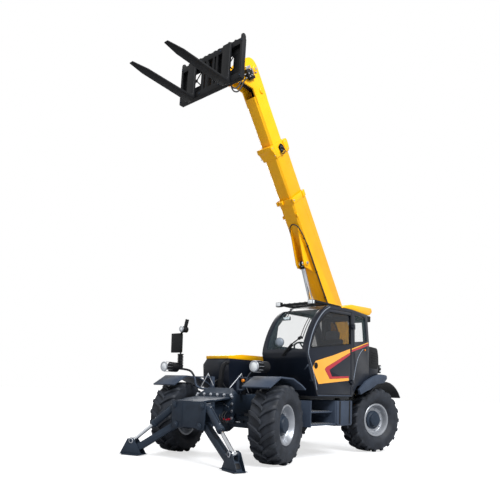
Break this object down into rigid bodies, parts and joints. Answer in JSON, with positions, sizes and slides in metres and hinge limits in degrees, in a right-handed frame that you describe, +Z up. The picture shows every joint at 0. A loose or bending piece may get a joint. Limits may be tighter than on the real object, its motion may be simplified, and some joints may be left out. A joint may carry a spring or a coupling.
{
  "type": "telehandler",
  "caption": "Telehandler with a three-section telescopic boom, pallet forks, side cab, four-wheel steering and front stabilisers.",
  "frame": {"origin": "on the ground under the middle of the machine's box", "axes": "+Z up, front of the machine towards -Y, the machine's left (cab side) towards +X"},
  "size_m": [2.6996, 5.6777, 6.5372],
  "materials": {
    "yellow_paint": "satin gloss",
    "dark_paint": "satin",
    "frame_paint": "satin",
    "grey_plastic": "fine grain",
    "black_parts": "matt",
    "tyre": "matt",
    "rim_paint": "satin silver",
    "chrome": "mirror",
    "glass": "clear",
    "seat_fabric": "woven"
  },
  "bodies": {
    "chassis": {"chassis": "frame_paint", "front_axle": "frame_paint", "rear_axle": "frame_paint", "engine_bay": "dark_paint", "engine_block": "frame_paint", "cab_shell": "dark_paint", "windscreen": "glass", "rear_window": "glass", "right_window": "glass", "quarter_window": "glass", "cab_mount": "frame_paint", "roof_cover": "yellow_paint", "roof_visor": "black_parts", "dashboard": "black_parts", "driver_seat": "seat_fabric", "rear_body_left": "dark_paint", "rear_body_right": "dark_paint", "tank_box": "grey_plastic", "side_steps": "grey_plastic", "fender_front_left": "grey_plastic", "fender_front_right": "grey_plastic", "fender_rear_left": "grey_plastic", "fender_rear_right": "grey_plastic", "mirror_mast": "black_parts", "stabiliser_bracket": "frame_paint"},
    "cab_door": {"cab_door": "dark_paint", "door_window": "glass"},
    "engine_hood": {"engine_hood": "yellow_paint"},
    "boom_outer": {"boom_outer": "yellow_paint"},
    "boom_middle": {"boom_middle": "yellow_paint"},
    "boom_inner": {"boom_inner": "yellow_paint"},
    "fork_carriage": {"fork_carriage": "black_parts", "fork_left": "black_parts", "fork_right": "black_parts"},
    "lift_barrel": {"lift_barrel": "dark_paint"},
    "lift_rod": {"lift_rod": "chrome"},
    "tilt_barrel": {"tilt_barrel": "black_parts"},
    "tilt_rod": {"tilt_rod": "chrome"},
    "stabiliser_leg_left": {"stabiliser_leg_left": "frame_paint"},
    "stabiliser_barrel_left": {"stabiliser_barrel_left": "frame_paint"},
    "stabiliser_rod_left": {"stabiliser_rod_left": "chrome"},
    "stabiliser_leg_right": {"stabiliser_leg_right": "frame_paint"},
    "stabiliser_barrel_right": {"stabiliser_barrel_right": "frame_paint"},
    "stabiliser_rod_right": {"stabiliser_rod_right": "chrome"},
    "knuckle_front_left": {"knuckle_front_left": "frame_paint"},
    "wheel_front_left": {"tyre_front_left": "tyre", "wheel_front_left": "rim_paint"},
    "knuckle_front_right": {"knuckle_front_right": "frame_paint"},
    "wheel_front_right": {"tyre_front_right": "tyre", "wheel_front_right": "rim_paint"},
    "knuckle_rear_left": {"knuckle_rear_left": "frame_paint"},
    "wheel_rear_left": {"tyre_rear_left": "tyre", "wheel_rear_left": "rim_paint"},
    "knuckle_rear_right": {"knuckle_rear_right": "frame_paint"},
    "wheel_rear_right": {"tyre_rear_right": "tyre", "wheel_rear_right": "rim_paint"}
  },
  "joints": [
    {"name": "steer_front_left", "type": "hinge", "parent": "chassis", "child": "knuckle_front_left", "pos_m": [0.83845, -1.043, 0.58], "axis": [0, 0, 1], "range_deg": [-47.6, 22.4]},
    {"name": "spin_front_left", "type": "hinge", "parent": "knuckle_front_left", "child": "wheel_front_left", "pos_m": [0.9946, -1.0081, 0.58], "axis": [0.9759, 0.2181, 0], "continuous": true},
    {"name": "steer_front_right", "type": "hinge", "parent": "chassis", "child": "knuckle_front_right", "pos_m": [-0.83845, -1.043, 0.58], "axis": [0, 0, 1], "range_deg": [-47.6, 22.4]},
    {"name": "spin_front_right", "type": "hinge", "parent": "knuckle_front_right", "child": "wheel_front_right", "pos_m": [-0.9946, -1.0779, 0.58], "axis": [0.9759, 0.2181, 0], "continuous": true},
    {"name": "steer_rear_left", "type": "hinge", "parent": "chassis", "child": "knuckle_rear_left", "pos_m": [0.83845, 1.917, 0.58], "axis": [0, 0, 1], "range_deg": [-17.6, 52.4]},
    {"name": "spin_rear_left", "type": "hinge", "parent": "knuckle_rear_left", "child": "wheel_rear_left", "pos_m": [0.99113, 1.86915, 0.58], "axis": [0.9542, -0.299, 0], "continuous": true},
    {"name": "steer_rear_right", "type": "hinge", "parent": "chassis", "child": "knuckle_rear_right", "pos_m": [-0.83845, 1.917, 0.58], "axis": [0, 0, 1], "range_deg": [-17.6, 52.4]},
    {"name": "spin_rear_right", "type": "hinge", "parent": "knuckle_rear_right", "child": "wheel_rear_right", "pos_m": [-0.99113, 1.96485, 0.58], "axis": [0.9542, -0.299, 0], "continuous": true},
    {"name": "boom_lift", "type": "hinge", "parent": "chassis", "child": "boom_outer", "pos_m": [0, 2.497, 1.91], "axis": [-1, 0, 0], "range_deg": [-61, 12]},
    {"name": "telescope_middle", "type": "slide", "parent": "boom_outer", "child": "boom_middle", "axis": [0, -0.599, 0.8007], "range_m": [-0.48, 1.5]},
    {"name": "telescope_inner", "type": "slide", "parent": "boom_middle", "child": "boom_inner", "axis": [0, -0.599, 0.8007], "range_m": [-0.48, 1.5]},
    {"name": "fork_tilt", "type": "hinge", "parent": "boom_inner", "child": "fork_carriage", "pos_m": [0, -1.32611, 5.91867], "axis": [1, 0, 0], "range_deg": [-60, 50]},
    {"name": "lift_barrel_swing", "type": "hinge", "parent": "chassis", "child": "lift_barrel", "pos_m": [0, 2.097, 1.2], "axis": [-1, 0, 0], "range_deg": [-56.92, 11.6]},
    {"name": "lift_rod_slide", "type": "slide", "parent": "lift_barrel", "child": "lift_rod", "axis": [0, -0.4344, 0.9007], "range_m": [-0.82781, 0.17088]},
    {"name": "tilt_barrel_swing", "type": "hinge", "parent": "boom_inner", "child": "tilt_barrel", "pos_m": [0, -0.49188, 6.10565], "axis": [1, 0, 0], "range_deg": [-3.64, 4.26]},
    {"name": "tilt_rod_slide", "type": "slide", "parent": "tilt_barrel", "child": "tilt_rod", "axis": [0, -0.998, 0.0639], "range_m": [-0.2193, 0.18441]},
    {"name": "stabiliser_left", "type": "hinge", "parent": "chassis", "child": "stabiliser_leg_left", "pos_m": [0.278, -1.744, 0.529], "axis": [0.3057, 0.9521, 0], "range_deg": [-75, 7]},
    {"name": "stabiliser_barrel_swing_left", "type": "hinge", "parent": "chassis", "child": "stabiliser_barrel_left", "pos_m": [0.31799, -1.75684, 0.817], "axis": [0.3057, 0.9521, 0], "range_deg": [-79.99, 7.92]},
    {"name": "stabiliser_rod_slide_left", "type": "slide", "parent": "stabiliser_barrel_left", "child": "stabiliser_rod_left", "axis": [0.7523, -0.2415, -0.6129], "range_m": [-0.35868, 0.04254]},
    {"name": "stabiliser_right", "type": "hinge", "parent": "chassis", "child": "stabiliser_leg_right", "pos_m": [-0.278, -1.744, 0.529], "axis": [0.3057, -0.9521, 0], "range_deg": [-75, 7]},
    {"name": "stabiliser_barrel_swing_right", "type": "hinge", "parent": "chassis", "child": "stabiliser_barrel_right", "pos_m": [-0.31799, -1.75684, 0.817], "axis": [0.3057, -0.9521, 0], "range_deg": [-79.99, 7.92]},
    {"name": "stabiliser_rod_slide_right", "type": "slide", "parent": "stabiliser_barrel_right", "child": "stabiliser_rod_right", "axis": [-0.7523, -0.2415, -0.6129], "range_m": [-0.35868, 0.04254]},
    {"name": "door_swing", "type": "hinge", "parent": "chassis", "child": "cab_door", "pos_m": [1.206, 0.799, 1.7], "axis": [0, 0, 1], "range_deg": [0, 90]},
    {"name": "hood_lift", "type": "hinge", "parent": "chassis", "child": "engine_hood", "pos_m": [-0.7, 1.491, 1.64], "axis": [-1, 0, 0], "range_deg": [0, 50]}
  ],
  "couplings": [
    {"joint": "steer_front_right", "follows": "steer_front_left", "ratio": 1},
    {"joint": "steer_rear_right", "follows": "steer_rear_left", "ratio": 1},
    {"joint": "telescope_inner", "follows": "telescope_middle", "ratio": 1},
    {"joint": "lift_barrel_swing", "follows": "boom_lift", "ratio": 0.925},
    {"joint": "lift_rod_slide", "follows": "boom_lift", "m_per_rad": 0.76814},
    {"joint": "tilt_barrel_swing", "follows": "fork_tilt", "ratio": -0.06272},
    {"joint": "tilt_rod_slide", "follows": "fork_tilt", "m_per_rad": 0.19986},
    {"joint": "stabiliser_barrel_swing_left", "follows": "stabiliser_left", "ratio": 1.0598},
    {"joint": "stabiliser_rod_slide_left", "follows": "stabiliser_left", "m_per_rad": 0.26637},
    {"joint": "stabiliser_barrel_swing_right", "follows": "stabiliser_right", "ratio": 1.0598},
    {"joint": "stabiliser_rod_slide_right", "follows": "stabiliser_right", "m_per_rad": 0.26637}
  ]
}
